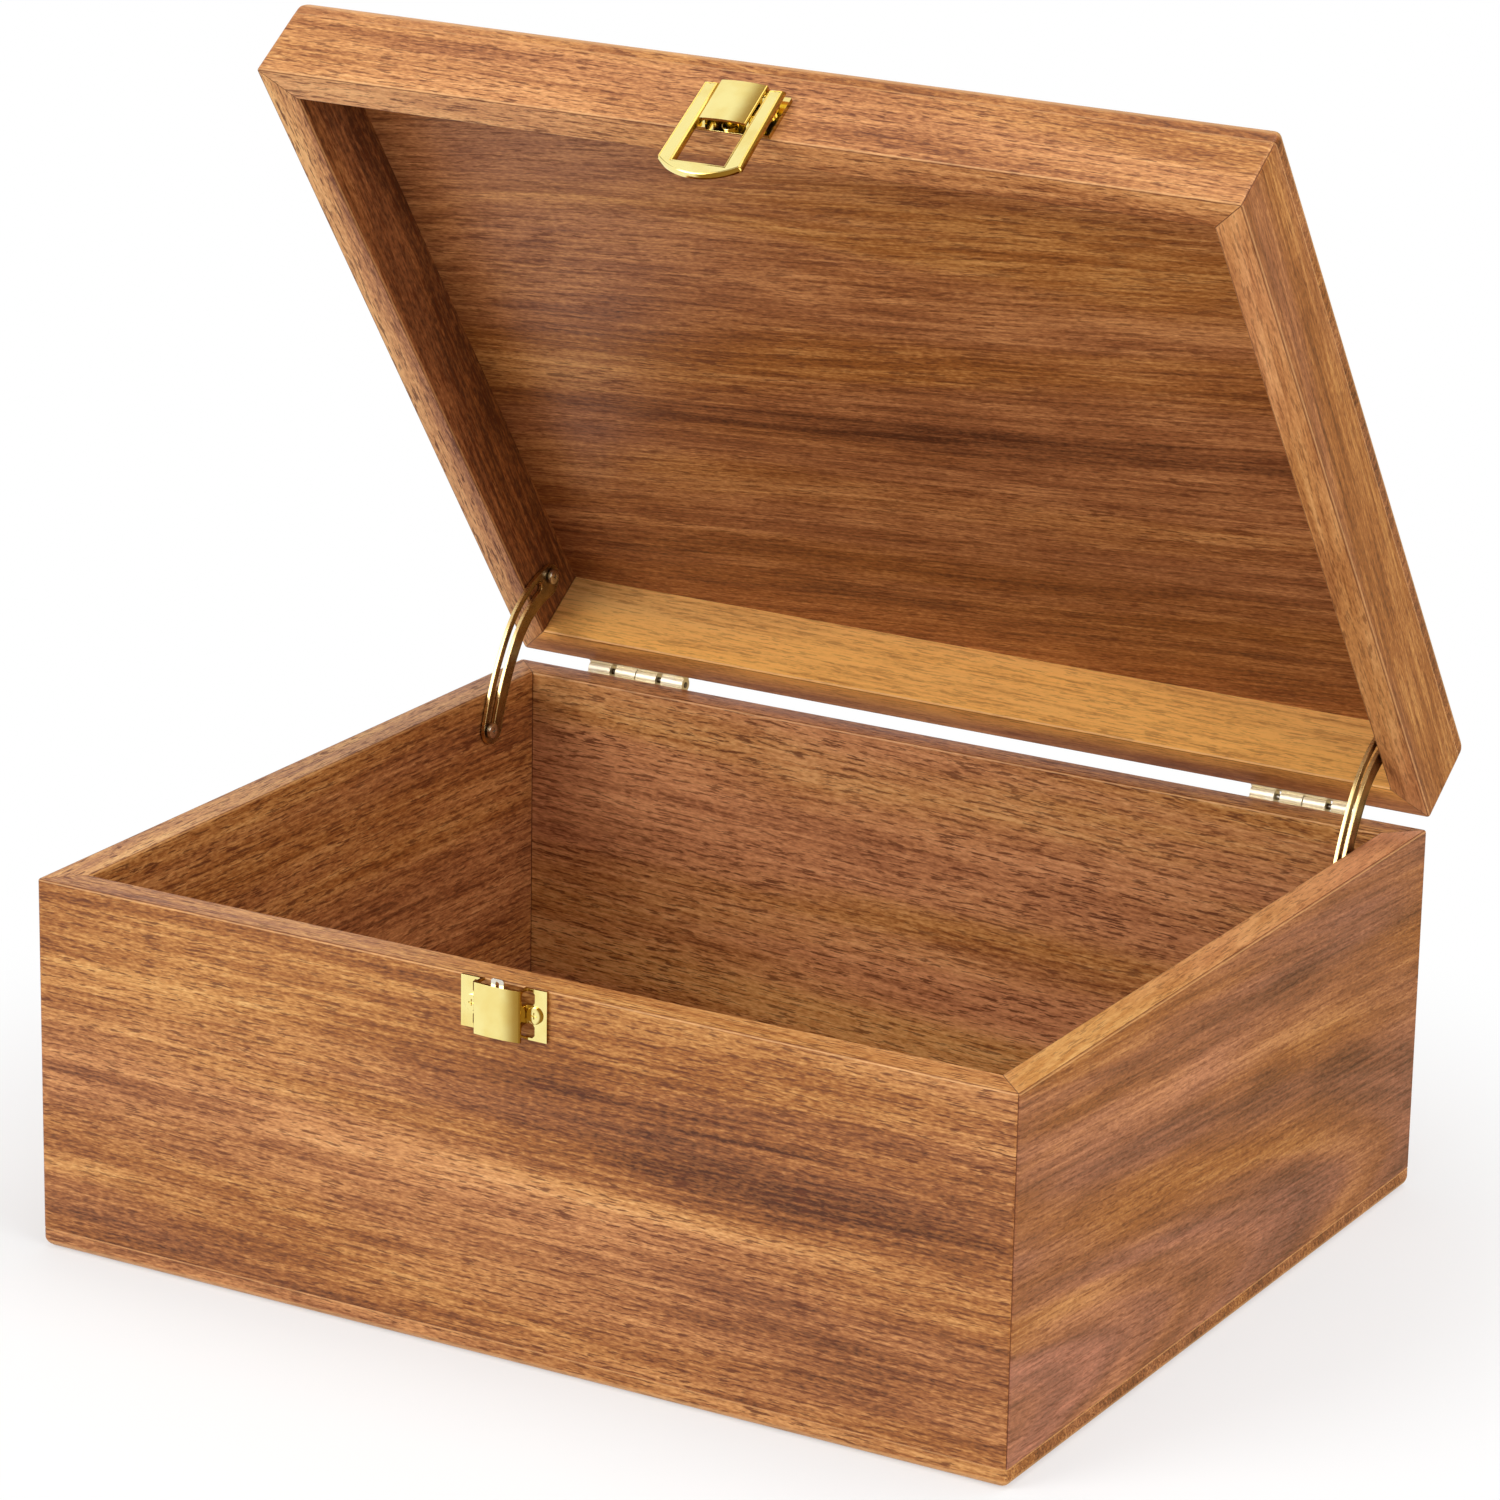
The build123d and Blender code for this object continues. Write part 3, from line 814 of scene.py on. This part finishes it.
class KEEPSAKE_OT_base_walls(bpy.types.Operator):
    """Build the four mitred walls of the base"""

    bl_idname = "keepsake.base_walls"
    bl_label = "Base Walls"

    def execute(self, context):
        ring = hollow_ring("base_ring", walls_bottom, walls_top, True)
        figures = {
            "front": Figure(
                1.0, 0.555, wander=2.0, contrast=0.7, rim=0.08,
                patches=(
                    (-95, 92, 80, 20, 0.10),
                    (80, 80, 110, 18, -0.26),
                    (-5, 84, 50, 14, -0.14),
                    (105, 68, 75, 6, -0.30),
                    (-132, 57, 40, 3, -0.24),
                    (40, 56, 125, 4, 0.22),
                    (-140, 29, 45, 5, 0.12),
                    (105, 30, 75, 18, -0.22),
                    (-115, 28, 75, 20, -0.20),
                    (-40, 6, 120, 11, -0.19),
                ),
                arches=((0, 8, 110, 30, 12),),
            ),
            "rear": Figure(4.0, 0.60, slope=0.03, red=0.5, inner=0.08),
            "left": Figure(7.0, 0.52, slope=0.02, rim=0.10),
            "right": Figure(
                9.0, 0.39, slope=0.066, wander=2.0, contrast=0.5, lines=0.8, streaks=0.45,
                pores=0.55, red=1.0, rim=0.40,
                patches=(
                    (60, 100, 90, 9, -0.12),
                    (-20, 82, 130, 6, 0.20),
                    (0, 68, 160, 6, -0.14),
                    (-95, 24, 40, 8, 0.20),
                    (50, 51, 75, 2.5, 0.20),
                    (40, 44, 70, 4, -0.10),
                ),
                crown=(20, 8, 0.17),
            ),
        }
        boards_from(ring, "base", "wall", "acacia_walls", figures)
        return {"FINISHED"}


class KEEPSAKE_OT_lid_rails(bpy.types.Operator):
    """Build the four mitred rails of the lid"""

    bl_idname = "keepsake.lid_rails"
    bl_label = "Lid Rails"

    def execute(self, context):
        rim, seam = lid_heights()[:2]
        ring = hollow_ring("lid_ring", rim, seam, False)
        figures = {
            "front": Figure(
                12.0, 0.60, slope=0.02, wander=2.0, contrast=0.8, rim=0.08,
                patches=(
                    (-105, 131, 60, 3, -0.25),
                    (60, 121, 60, 4, -0.22),
                    (-20, 127, 30, 3, -0.14),
                ),
            ),
            "rear": Figure(
                15.0, 0.58, slope=0.01, wander=2.0, contrast=0.5, pores=0.4, amber_and_light=0.95,
                inner=0.32,
            ),
            "left": Figure(18.0, 0.52, slope=0.02, inner=-0.30, rim=0.25),
            "right": Figure(21.0, 0.44, slope=0.02, pores=0.6, red=0.8, rim=0.35),
        }
        boards_from(ring, "lid", "rail", "acacia_rails", figures)
        return {"FINISHED"}


class KEEPSAKE_OT_boards(bpy.types.Operator):
    """Build the bottom board and the lid's top board"""

    bl_idname = "keepsake.boards"
    bl_label = "Bottom and Top Boards"

    def execute(self, context):
        sizes = context.scene.box_sizes
        bottom = flat_board("bottom_board", 0.0, sizes.bottom_board, sizes.bottom_edge, 0.0)
        smooth(bottom)
        under = wood("acacia_bottom", Figure(25.0, 0.54, slope=0.02), 0, 1, sizes.bottom_board)
        dress(bottom, "base", under, "acacia_boards", "base_bottom_board")
        seam, high = lid_heights()[1:]
        top = flat_board("top_board", seam, high, sizes.top_edge, high)
        open_with_lid(top)
        smooth(top)
        figure = Figure(
            31.0, 0.49, slope=0.107, wander=5.0, contrast=0.9, pores=0.8,
            patches=(
                (-130, 0, 40, 10, 0.15),
                (0, 18, 170, 9, -0.24),
                (0, 80, 200, 45, -0.06),
                (0, -95, 200, 30, -0.08),
            ),
            arches=((-70, -50, 80, 26, 26),),
        )
        over = wood("acacia_top", figure, 0, 1, seam, True)
        dress(top, "lid", over, "acacia_boards", "lid_top_board")
        return {"FINISHED"}


# Metal pieces


def joined(name, pieces):
    """Several pieces made one object."""
    bpy.ops.object.select_all(action="DESELECT")
    for piece in pieces:
        piece.select_set(True)
    bpy.context.view_layer.objects.active = pieces[0]
    if len(pieces) > 1:
        bpy.ops.object.join()
    return named(name)


def carve(piece, cutter):
    """Cut one piece out of another."""
    cut = piece.modifiers.new("Cut", "BOOLEAN")
    cut.operation = "DIFFERENCE"
    cut.solver = "EXACT"
    cut.object = cutter
    pick(piece)
    bpy.ops.object.modifier_apply(modifier=cut.name)
    discard(cutter)


# A screw's head has a straight rim, and the rings of its dome lie further in and up, in
# shares of the radius and the height. The tip is narrower than the shank.
RIM_HEIGHT = 0.75
DOME_RINGS = ((0.04, 0.10), (0.08, 0.07), (0.20, 0.05), (0.25, 0.02), (0.22, 0.01))
TIP_LENGTH = 0.3
TIP_WIDTH = 0.2

# The cross in a head: the reach and half width of its arms in shares of the radius, its
# floor in shares of the height, and how wide it is there
CROSS_REACH = 0.52
CROSS_WIDTH = 0.10
CROSS_FLOOR = 0.50
CROSS_TAPER = 0.55

# Degrees between two faces of metal: flat up to the first turn, smooth up to the second,
# and sharp from the third
FLAT_TURN = 0.5
SMOOTH_TURN = 40.0
SHARP_TURN = 62.0


def headed(name, radius, height, crossed=True):
    """A domed head with its recess, standing on its shank, its seat at the origin."""
    sizes = bpy.context.scene.metal_sizes
    bpy.ops.object.select_all(action="DESELECT")
    wall = height * RIM_HEIGHT
    bpy.ops.mesh.primitive_cylinder_add(
        vertices=40, radius=radius, depth=wall, location=(0.0, 0.0, wall / 2)
    )
    bpy.ops.object.transform_apply(location=True, rotation=True, scale=True)
    piece = named(name)
    with Editing(piece) as edit:
        edit.select("FACE", lambda face: face.normal.z > SAME_WAY)
        for inward, rise in DOME_RINGS:
            bpy.ops.mesh.inset(thickness=radius * inward, depth=height * rise)
        edit.select("FACE", lambda face: face.normal.z < -SAME_WAY)
        bpy.ops.mesh.inset(thickness=radius - sizes.shank_radius, depth=0.0)
        for share in (1.0 - TIP_LENGTH, TIP_LENGTH):
            move = {"value": (0.0, 0.0, -sizes.shank_length * share)}
            bpy.ops.mesh.extrude_region_move(TRANSFORM_OT_translate=move)
        bpy.ops.transform.resize(value=(TIP_WIDTH, TIP_WIDTH, 1.0))
    if crossed:
        for share_x, share_y in ((CROSS_REACH, CROSS_WIDTH), (CROSS_WIDTH, CROSS_REACH)):
            x, y = radius * share_x, radius * share_y
            arm = block("recess", (-x, -y, height * CROSS_FLOOR), (x, y, height * 1.5))
            with Editing(arm) as edit:
                edit.select("FACE", lambda face: face.normal.z < -SAME_WAY)
                bpy.ops.transform.resize(value=(CROSS_TAPER, CROSS_TAPER, 1.0))
            carve(piece, arm)
    return piece


def stood(piece, place, way):
    """Stand an upright piece on a place, pointing the way given."""
    turn = Vector(way).to_track_quat("Z", "Y").to_matrix().to_4x4()
    piece.matrix_world = Matrix.Translation(place) @ turn
    pick(piece)
    bpy.ops.object.transform_apply(location=True, rotation=True, scale=True)
    return piece


def fasteners(name, model, places, way, on_lid=False):
    """Copies of one model at several places as one piece, on the base or on the shut lid."""
    copies = [stood(copy_of(model, name), place, way) for place in places]
    discard(model)
    whole = joined(name, copies)
    if on_lid:
        open_with_lid(whole)
    smooth(whole, SMOOTH_TURN)
    return whole


def over_rim(place, out=0.0):
    """The place on the shut lid that faces one on the base, across the line of the rims."""
    return Vector((place[0], place[1] - out, 2 * hinge_point.z - place[2]))


def eased_copy(node):
    """A copy of a measured piece without the frame's marks, made one skin."""
    piece = copy_of(frame["nodes"][node], node + "_finished")
    piece.parent = None
    for key in list(piece.keys()):
        if key.startswith("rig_"):
            del piece[key]
    with Editing(piece):
        bpy.ops.mesh.remove_doubles(threshold=SAME_POINT)
        bpy.ops.mesh.dissolve_limited(angle_limit=math.radians(FLAT_TURN))
    return piece


def ease_edges(piece):
    """Round the sharp edges of sheet metal."""
    easing = piece.modifiers.new("Eased edges", "BEVEL")
    easing.width = bpy.context.scene.metal_sizes.easing
    easing.segments = 2
    easing.limit_method = "ANGLE"
    easing.angle_limit = math.radians(SHARP_TURN)
    pick(piece)
    bpy.ops.object.modifier_apply(modifier=easing.name)
    smooth(piece, SMOOTH_TURN)


def finished_copies(body, finish, slot, *nodes):
    """Measured pieces with their edges eased, dressed alike."""
    for node in nodes:
        piece = eased_copy(node)
        ease_edges(piece)
        dress(piece, body, finish, slot, node)


class KEEPSAKE_OT_catch(bpy.types.Operator):
    """Build the catch: the stamped plate, its two screws and the spring tongue"""

    bl_idname = "keepsake.catch"
    bl_label = "Catch"

    def execute(self, context):
        tones = context.scene.metal_colours
        gold = gold_plating("polished_gold", False)
        steel = metal("spring_steel", tones.steel, tones.champagne, 0.26)
        finished_copies("base", gold, "polished_gold", "catch_plate")
        finished_copies("base", steel, "spring_steel", "catch_spring")
        screws = fasteners("catch_screw_pair", plate_screw(), catch_screw_places(), (0, -1, 0))
        dress(screws, "base", gold, "gold_screws", "catch_screws")
        return {"FINISHED"}


def plate_screw():
    sizes = bpy.context.scene.metal_sizes
    return headed("plate_screw", sizes.head_radius, sizes.head_shown)


def catch_screw_places():
    """Where the heads of the catch's screws sit on its ears."""
    sizes = bpy.context.scene.metal_sizes
    low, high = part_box("catch_screws")
    seat, level = low.y + sizes.head_height, (low.z + high.z) / 2
    return [Vector((side * (high.x - sizes.head_radius), seat, level)) for side in (-1, 1)]


class KEEPSAKE_OT_latch(bpy.types.Operator):
    """Build the latch: two plates, the nail, two screws and the swinging loop"""

    bl_idname = "keepsake.latch"
    bl_label = "Latch"

    def execute(self, context):
        sizes = context.scene.metal_sizes
        gold = gold_plating("lid_gold", True)
        finished_copies("lid", gold, "polished_gold", "latch_plate", "latch_backing")
        places = [over_rim(place, sizes.backing) for place in catch_screw_places()]
        screws = fasteners("latch_screw_pair", plate_screw(), places, (0, -1, 0), on_lid=True)
        dress(screws, "lid", gold, "gold_screws", "latch_screws")

        model = headed("nail", sizes.nail_head_radius, sizes.nail_head_height, crossed=False)
        height = lid_heights()[0] + sizes.nail_above_rim
        place = Vector((0.0, -half_depth - sizes.backing, height))
        nail = fasteners("latch_centre_nail", model, [place], (0, -1, 0), on_lid=True)
        dress(nail, "lid", gold, "gold_screws", "latch_nail")

        loop = eased_copy("latch_loop")
        self.engrave(loop, sizes.groove)
        ease_edges(loop)
        dress(loop, "latch_loop", gold, "polished_gold", "latch_loop")
        return {"FINISHED"}

    def engrave(self, loop, width):
        """A fine groove along both edges of the loop's face."""
        out = Matrix.Rotation(-open_angle, 3, "X") @ Vector((0.0, -1.0, 0.0))
        front = max(vertex.co.dot(out) for vertex in loop.data.vertices)
        with Editing(loop) as edit:
            edit.select(
                "FACE",
                lambda face: face.normal.dot(out) > SAME_WAY
                and near(face.calc_center_median().dot(out), front),
            )
            for inward, depth in ((1.2 * width, 0.0), (width, -width), (width, width)):
                bpy.ops.mesh.inset(thickness=inward, depth=depth)


class KEEPSAKE_OT_hinges(bpy.types.Operator):
    """Build the two hinges: leaves with their knuckles, pins and screws"""

    bl_idname = "keepsake.hinges"
    bl_label = "Hinges"

    def execute(self, context):
        sizes = context.scene.metal_sizes
        tones = context.scene.metal_colours
        plating = metal("hinge_plating", tones.champagne, tones.steel, 0.48)
        pin = metal("hinge_pin_steel", tones.dark, tones.steel, 0.3)
        for body, part, finish in (
            ("base", "base_leaf", plating), ("lid", "lid_leaf", plating), ("base", "pin", pin),
        ):
            nodes = f"hinge_{part}_left", f"hinge_{part}_right"
            finished_copies(body, finish, "hinge_metal", *nodes)

        low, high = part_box("hinge_base_screws")
        leaf_low, leaf_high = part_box("hinge_base_leaf_right")
        seat = high.y - sizes.head_height
        middle_x = (leaf_low.x + leaf_high.x) / 2
        offset = high.x - sizes.hinge_head_radius - middle_x
        places = [
            Vector((side * middle_x + step * offset, seat, (low.z + high.z) / 2))
            for side in (-1, 1)
            for step in (-1, 1)
        ]
        for body, on_lid in (("base", False), ("lid", True)):
            node = f"hinge_{body}_screws"
            model = headed("hinge_screw", sizes.hinge_head_radius, sizes.head_height)
            seats = [over_rim(place) for place in places] if on_lid else places
            screws = fasteners(node + "_crossed", model, seats, (0, 1, 0), on_lid)
            dress(screws, body, plating, "hinge_metal", node)
        return {"FINISHED"}


class KEEPSAKE_OT_stays(bpy.types.Operator):
    """Build the two stays: slotted arms with raised rims, and their domed fasteners"""

    bl_idname = "keepsake.stays"
    bl_label = "Stays"

    def execute(self, context):
        sizes = context.scene.metal_sizes
        tones = context.scene.metal_colours
        brass = metal("old_brass", tones.brass, tones.brass_wear_and_sheen, 0.28, wear_and_sheen=tones.brass_wear_and_sheen)
        nickel = metal("stay_nickel", tones.nickel, tones.steel, 0.2)
        for side, inward in (("left", 1), ("right", -1)):
            arm = eased_copy(f"stay_arm_{side}")
            self.hollow(arm, sizes)
            ease_edges(arm)
            dress(arm, f"stay_{side}", brass, "antique_brass", f"stay_arm_{side}")
            for node, body in ((f"stay_pin_{side}", "base"), (f"stay_screw_{side}", "lid")):
                low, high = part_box(node)
                seat = (high.x if inward > 0 else low.x) - inward * sizes.stay_head_height
                place = Vector((seat, (low.y + high.y) / 2, (low.z + high.z) / 2))
                model = headed(node, sizes.head_radius, sizes.stay_head_height)
                fastener = fasteners(node + "_crossed", model, [place], (inward, 0, 0))
                dress(fastener, body, nickel, "stay_fasteners", node)
        return {"FINISHED"}

    def hollow(self, arm, sizes):
        """Sink both broad sides between raised rims."""
        with Editing(arm) as edit:
            edit.select("FACE", lambda face: abs(face.normal.x) > SAME_WAY)
            bpy.ops.mesh.inset(thickness=sizes.stay_rim, depth=0.0)
            bpy.ops.mesh.inset(thickness=sizes.stay_hollow, depth=-sizes.stay_hollow)


# Stage


class KEEPSAKE_OT_stage(bpy.types.Operator):
    """Set up the floor, the surroundings, the lamps and the camera"""

    bl_idname = "keepsake.stage"
    bl_label = "Stage"

    def execute(self, context):
        settings = context.scene.studio
        self.floor()
        self.surroundings(settings)
        self.lamp("key", settings.key, (-1.3, -2.2, 1.5), 1.6)
        self.lamp("fill", settings.fill, (2.0, -0.6, 1.0), 1.4)
        self.lamp("top", settings.top, (0.35, 0.25, 2.4), 1.6)
        self.camera(settings)
        context.scene.view_settings.view_transform = "Standard"
        return {"FINISHED"}

    def floor(self):
        """A pale floor just under the box that takes its shadow and stays out of mirrors."""
        bpy.ops.object.select_all(action="DESELECT")
        bpy.ops.mesh.primitive_plane_add(size=12.0, location=(0.0, 0.0, -0.2 * MM))
        bpy.ops.object.transform_apply(location=True, rotation=True, scale=True)
        floor = bpy.context.object
        floor.name = "floor"
        finish = Finish("pale_floor")
        finish.set(base_color=(0.9, 0.9, 0.9, 1.0), roughness=0.9, specular_ior_level=0.0)

        # The camera sees half of the shadow near the box, and none further out
        fades_from, gone_at = 200.0 * MM, 340.0 * MM
        camera_ray = finish.node("ShaderNodeLightPath", output="Is Camera Ray")
        glow = finish.node("ShaderNodeEmission", None, {"Color": WHITE, "Strength": 1.0})
        settings = {"operation": "LENGTH"}
        far = finish.node("ShaderNodeVectorMath", settings, {0: finish.place(False)}, output=1)
        share = camera_ray * (far.step(fades_from, gone_at) * 0.5 + 0.5)
        mix = finish.mix_shaders(share, Wire(finish, finish.shader.outputs[0]), glow)
        finish.tree.links.new(mix.socket, finish.tree.nodes["Material Output"].inputs[0])
        floor.data.materials.append(finish.material)
        floor.visible_glossy = False

    def surroundings(self, settings):
        """Even light on the box, white for the camera, and shaded at the right in mirrors."""
        world = bpy.data.worlds.new("studio")
        world.use_nodes = True
        bpy.context.scene.world = world
        sky = Nodes(world.node_tree)
        # The left of the surroundings, with X below these shares, stays white in mirrors
        across = sky.parts(sky.node("ShaderNodeTexCoord", output="Generated"))[0]
        mirrored = sky.blend(across.step(-0.46, -0.30), WHITE, settings.shade)
        background = sky.tree.nodes["Background"]
        sky.feed(background.inputs["Color"], WHITE)
        sky.feed(background.inputs["Strength"], settings.daylight)
        mirror = sky.node("ShaderNodeBackground", None, {"Color": mirrored, "Strength": 1.0})
        white = sky.node("ShaderNodeBackground", None, {"Color": WHITE, "Strength": 1.0})
        glossy_ray = sky.node("ShaderNodeLightPath", output="Is Glossy Ray")
        camera_ray = sky.node("ShaderNodeLightPath", output="Is Camera Ray")
        light = sky.mix_shaders(glossy_ray, Wire(sky, background.outputs[0]), mirror)
        light = sky.mix_shaders(camera_ray, light, white)
        sky.tree.links.new(light.socket, sky.tree.nodes["World Output"].inputs[0])

    def lamp(self, name, watts, place, size):
        """A square lamp that points at the middle of the box and stays out of sight."""
        place = Vector(place)
        bpy.ops.object.light_add(type="AREA", location=place)
        lamp = bpy.context.object
        lamp.name = name
        lamp.data.shape = "SQUARE"
        lamp.data.size = size
        lamp.data.energy = watts
        aim = Vector((0.0, 0.0, 120.0 * MM)) - place
        lamp.rotation_euler = aim.to_track_quat("-Z", "Y").to_euler()
        lamp.visible_camera = False

    def camera(self, settings):
        """The camera that sees the box as in the photo."""
        bpy.ops.object.camera_add(
            location=tuple(settings.camera_place), rotation=tuple(settings.camera_turn)
        )
        camera = bpy.context.object
        camera.name = "photo_camera"
        camera.data.lens = settings.focal
        camera.data.sensor_width = 36.0
        camera.data.clip_start = 50.0 * MM
        bpy.context.scene.camera = camera


class KEEPSAKE_PT_panel(bpy.types.Panel):
    """The keepsake box's pieces, sizes and colours"""

    bl_idname = "KEEPSAKE_PT_panel"
    bl_label = "Keepsake Box"
    bl_space_type = "VIEW_3D"
    bl_region_type = "UI"
    bl_category = "Keepsake"

    def draw(self, context):
        for operator in OPERATORS:
            self.layout.operator(operator.bl_idname)
        for name in GROUPS:
            group = getattr(context.scene, name)
            for setting in group.__annotations__:
                self.layout.prop(group, setting)


GROUPS = {
    "box_sizes": BoxSizes,
    "metal_sizes": MetalSizes,
    "wood_colours": WoodColours,
    "metal_colours": MetalColours,
    "studio": StudioSettings,
}
OPERATORS = (
    KEEPSAKE_OT_base_walls,
    KEEPSAKE_OT_lid_rails,
    KEEPSAKE_OT_boards,
    KEEPSAKE_OT_catch,
    KEEPSAKE_OT_latch,
    KEEPSAKE_OT_hinges,
    KEEPSAKE_OT_stays,
    KEEPSAKE_OT_stage,
)


def register():
    for name, group in GROUPS.items():
        bpy.utils.register_class(group)
        setattr(bpy.types.Scene, name, PointerProperty(type=group))
    for operator in OPERATORS:
        bpy.utils.register_class(operator)
    bpy.utils.register_class(KEEPSAKE_PT_panel)


def unregister():
    bpy.utils.unregister_class(KEEPSAKE_PT_panel)
    for operator in reversed(OPERATORS):
        bpy.utils.unregister_class(operator)
    for name, group in GROUPS.items():
        delattr(bpy.types.Scene, name)
        bpy.utils.unregister_class(group)


def main():
    """Register the add-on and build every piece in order."""
    register()
    for operator in OPERATORS:
        section, name = operator.bl_idname.split(".")
        getattr(getattr(bpy.ops, section), name)()
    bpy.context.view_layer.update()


if __name__ == "__main__":
    main()
